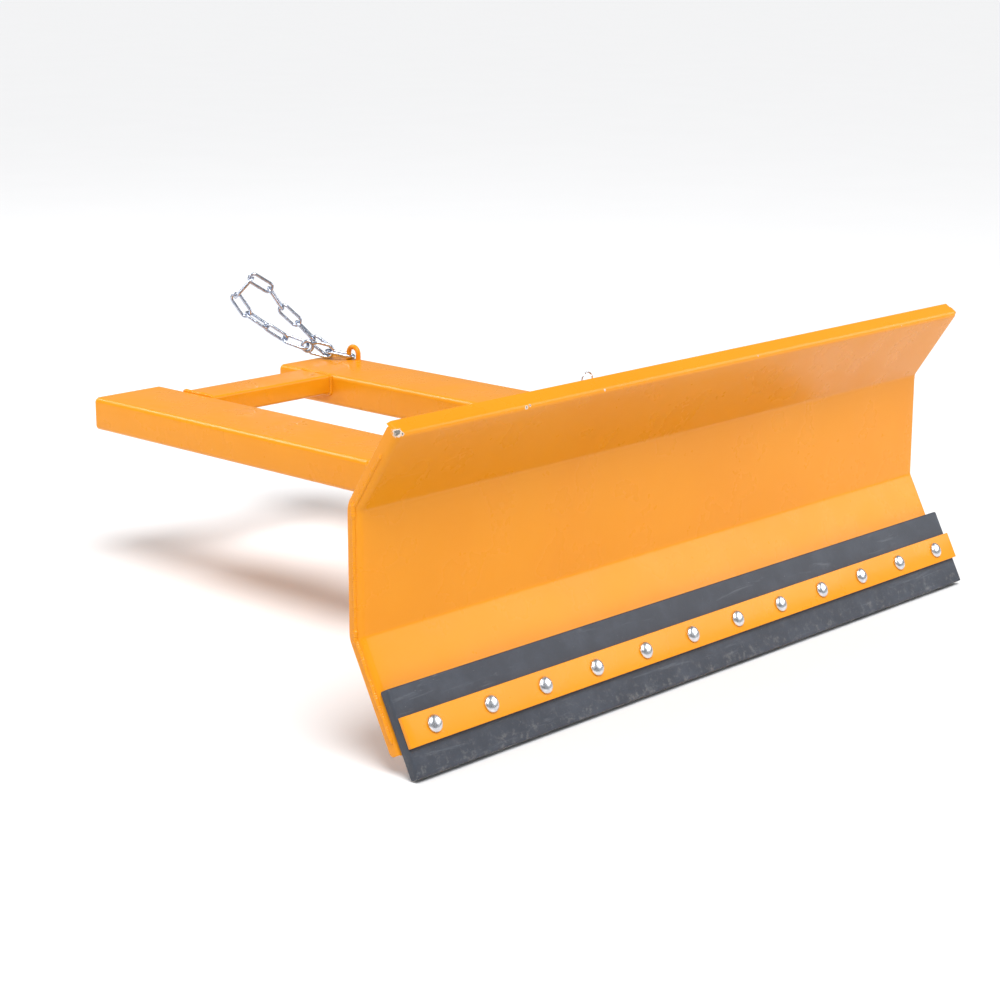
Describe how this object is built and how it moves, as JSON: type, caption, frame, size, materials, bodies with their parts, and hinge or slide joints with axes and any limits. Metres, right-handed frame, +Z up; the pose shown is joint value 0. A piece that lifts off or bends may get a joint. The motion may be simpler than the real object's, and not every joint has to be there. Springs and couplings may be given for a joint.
{
  "type": "fork mounted snow plough blade",
  "caption": "Snow plough blade with a rubber wiper strip, a swivel pivot, fork pockets and a safety chain with a snap hook.",
  "frame": {"origin": "midway between the two fork pockets, in the plane of their open rear ends, at mid height", "axes": "+X along the blade, +Y back towards the lift truck, +Z up"},
  "size_m": [1.5, 1.4848, 0.5553],
  "materials": {
    "orange_paint": "semi-gloss sprayed enamel",
    "rubber": "matt, dusty along its lower edge",
    "zinc": "bright zinc plated",
    "chain_zinc": "bright zinc plated"
  },
  "bodies": {
    "frame": {"fork_pocket_left": "orange_paint", "fork_pocket_right": "orange_paint", "rear_crossbar": "orange_paint", "front_beam": "orange_paint", "pivot_arm": "orange_paint", "pivot_tube": "orange_paint", "arm_gusset": "orange_paint", "chain_eye": "orange_paint", "swivel_bolt": "zinc", "swivel_nut": "zinc"},
    "blade": {"moldboard": "orange_paint", "end_plate_left": "orange_paint", "end_plate_right": "orange_paint", "rib_left": "orange_paint", "rib_right": "orange_paint", "upper_lug": "orange_paint", "quadrant_plate": "orange_paint", "rubber_strip": "rubber", "clamp_bar": "orange_paint", "bolt_01": "zinc", "bolt_02": "zinc", "bolt_03": "zinc", "bolt_04": "zinc", "bolt_05": "zinc", "bolt_06": "zinc", "bolt_07": "zinc", "bolt_08": "zinc", "bolt_09": "zinc", "bolt_10": "zinc", "bolt_11": "zinc", "bolt_12": "zinc", "nut_01": "zinc", "nut_02": "zinc", "nut_03": "zinc", "nut_04": "zinc", "nut_05": "zinc", "nut_06": "zinc", "nut_07": "zinc", "nut_08": "zinc", "nut_09": "zinc", "nut_10": "zinc", "nut_11": "zinc", "nut_12": "zinc", "pivot_pin": "zinc", "pin_washer": "zinc", "pin_clip": "zinc"},
    "pin_ring": {"pin_ring": "zinc"},
    "chain": {"first_link": "chain_zinc", "link_01": "chain_zinc", "link_02": "chain_zinc", "link_03": "chain_zinc", "link_04": "chain_zinc", "link_05": "chain_zinc", "link_06": "chain_zinc", "link_07": "chain_zinc", "link_08": "chain_zinc", "link_09": "chain_zinc", "link_10": "chain_zinc", "snap_hook": "chain_zinc"},
    "gate": {"hook_gate": "chain_zinc"}
  },
  "joints": [
    {"name": "blade_swivel", "type": "hinge", "parent": "frame", "child": "blade", "pos_m": [0, -1.027, 0.04], "axis": [0, 0, 1], "range_deg": [-25, 25]},
    {"name": "ring_swing", "type": "hinge", "parent": "blade", "child": "pin_ring", "pos_m": [0, -1.027, 0.1478], "axis": [1, 0, 0], "range_deg": [-90, 90]},
    {"name": "chain_swing", "type": "hinge", "parent": "frame", "child": "chain", "pos_m": [0.31, -0.057, 0.04], "axis": [0, 0, 1], "range_deg": [-70, 70]},
    {"name": "gate_open", "type": "hinge", "parent": "chain", "child": "gate", "pos_m": [0.25208, -0.00319, 0.04549], "axis": [-0.723, -0.6909, 0], "range_deg": [0, 25], "stiffness_Nm_per_rad": 0.02, "springref_deg": -17.19}
  ]
}
